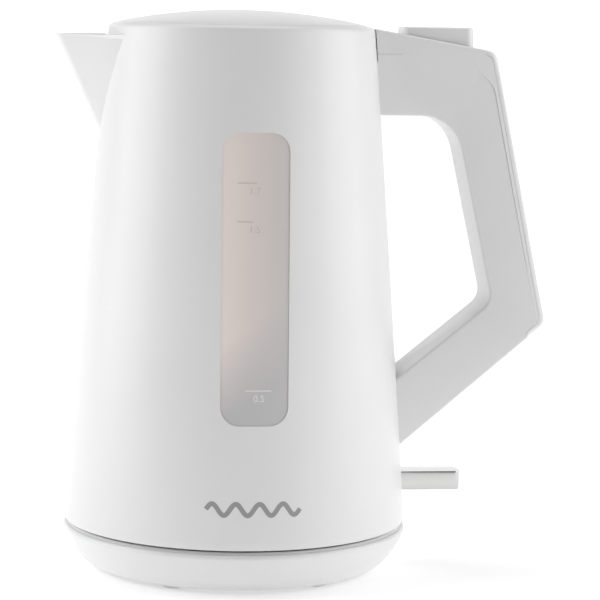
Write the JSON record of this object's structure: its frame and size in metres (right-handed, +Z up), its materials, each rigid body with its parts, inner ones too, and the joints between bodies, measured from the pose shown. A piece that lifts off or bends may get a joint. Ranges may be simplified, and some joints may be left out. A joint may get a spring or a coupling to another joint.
{
  "type": "electric kettle",
  "caption": "Cordless jug kettle with a tapered body, V-shaped spout, hinged lid, angular handle, water window and round power base.",
  "frame": {"origin": "on the table, under the middle of the overall box", "axes": "+Z up; X runs from the spout (-X) to the handle (+X); the water window faces -Y"},
  "size_m": [0.2174, 0.1524, 0.2454],
  "materials": {
    "white_gloss_plastic": "gloss white polypropylene",
    "white_satin_plastic": "satin white polypropylene",
    "window_plastic": "translucent, lightly tinted",
    "chrome_plate": "bright chrome on plastic",
    "stainless_steel": "brushed",
    "spring_steel": "drawn wire",
    "brass": "bare contact brass",
    "grey_plastic": "heat resistant, matt",
    "black_phenolic": "moulded, matt",
    "silicone": "soft matt",
    "foot_rubber": "matt"
  },
  "bodies": {
    "power_base": {"base_top_shell": "white_gloss_plastic", "base_bottom_cover": "white_satin_plastic", "base_socket": "black_phenolic", "shutter_spring": "spring_steel", "contact_line": "brass", "contact_neutral": "brass", "contact_earth": "brass", "base_screw_1": "stainless_steel", "base_screw_2": "stainless_steel", "base_screw_3": "stainless_steel", "foot_front_left": "foot_rubber", "foot_front_right": "foot_rubber", "foot_back_right": "foot_rubber", "foot_back_left": "foot_rubber"},
    "socket_shutter": {"socket_shutter": "white_satin_plastic"},
    "jug": {"jug_shell": "white_gloss_plastic", "water_window": "window_plastic", "spout_filter_frame": "white_satin_plastic", "spout_filter_mesh": "stainless_steel", "handle_shell": "white_gloss_plastic", "handle_back_cover": "white_gloss_plastic", "hinge_cover": "white_gloss_plastic", "handle_screw_left": "stainless_steel", "handle_screw_right": "stainless_steel", "lid_hinge_pin": "stainless_steel", "lid_spring": "spring_steel", "button_carrier": "grey_plastic", "button_spring": "spring_steel", "steam_tube": "grey_plastic", "heating_plate": "stainless_steel", "plate_seal": "silicone", "heat_spreader": "stainless_steel", "heating_element": "stainless_steel", "control_housing": "black_phenolic", "bimetal_disc": "brass", "jug_connector": "black_phenolic", "connector_pin": "brass", "connector_neutral_ring": "brass", "connector_earth_ring": "brass", "jug_bottom_cover": "white_satin_plastic", "jug_screw_1": "stainless_steel", "jug_screw_2": "stainless_steel", "jug_screw_3": "stainless_steel", "lever_pin": "stainless_steel", "lever_bracket": "grey_plastic"},
    "lid": {"lid_cover": "white_gloss_plastic", "lid_inner": "white_satin_plastic", "lid_seal": "silicone"},
    "lid_button": {"lid_button": "white_gloss_plastic"},
    "lid_latch": {"lid_latch": "white_satin_plastic"},
    "switch_lever": {"switch_lever": "chrome_plate"}
  },
  "joints": [
    {"name": "jug_swivel", "type": "hinge", "parent": "power_base", "child": "socket_shutter", "pos_m": [-0.0273, 0, 0], "axis": [0, 0, 1], "continuous": true},
    {"name": "jug_lift", "type": "slide", "parent": "socket_shutter", "child": "jug", "axis": [0, 0, 1], "range_m": [0, 0.05]},
    {"name": "lid_hinge", "type": "hinge", "parent": "jug", "child": "lid", "pos_m": [0.0349, 0, 0.2354], "axis": [0, 1, 0], "range_deg": [0, 70]},
    {"name": "button_press", "type": "slide", "parent": "jug", "child": "lid_button", "axis": [0, 0, -1], "range_m": [0, 0.003], "stiffness_N_per_m": 1500, "deforming": ["button_spring"]},
    {"name": "latch_slide", "type": "slide", "parent": "jug", "child": "lid_latch", "axis": [1, 0, 0], "range_m": [0, 0.003]},
    {"name": "switch_press", "type": "hinge", "parent": "jug", "child": "switch_lever", "pos_m": [0.0387, 0, 0.0366], "axis": [0, 1, 0], "range_deg": [0, 10]}
  ],
  "couplings": [
    {"joint": "latch_slide", "follows": "button_press", "ratio": 1}
  ]
}
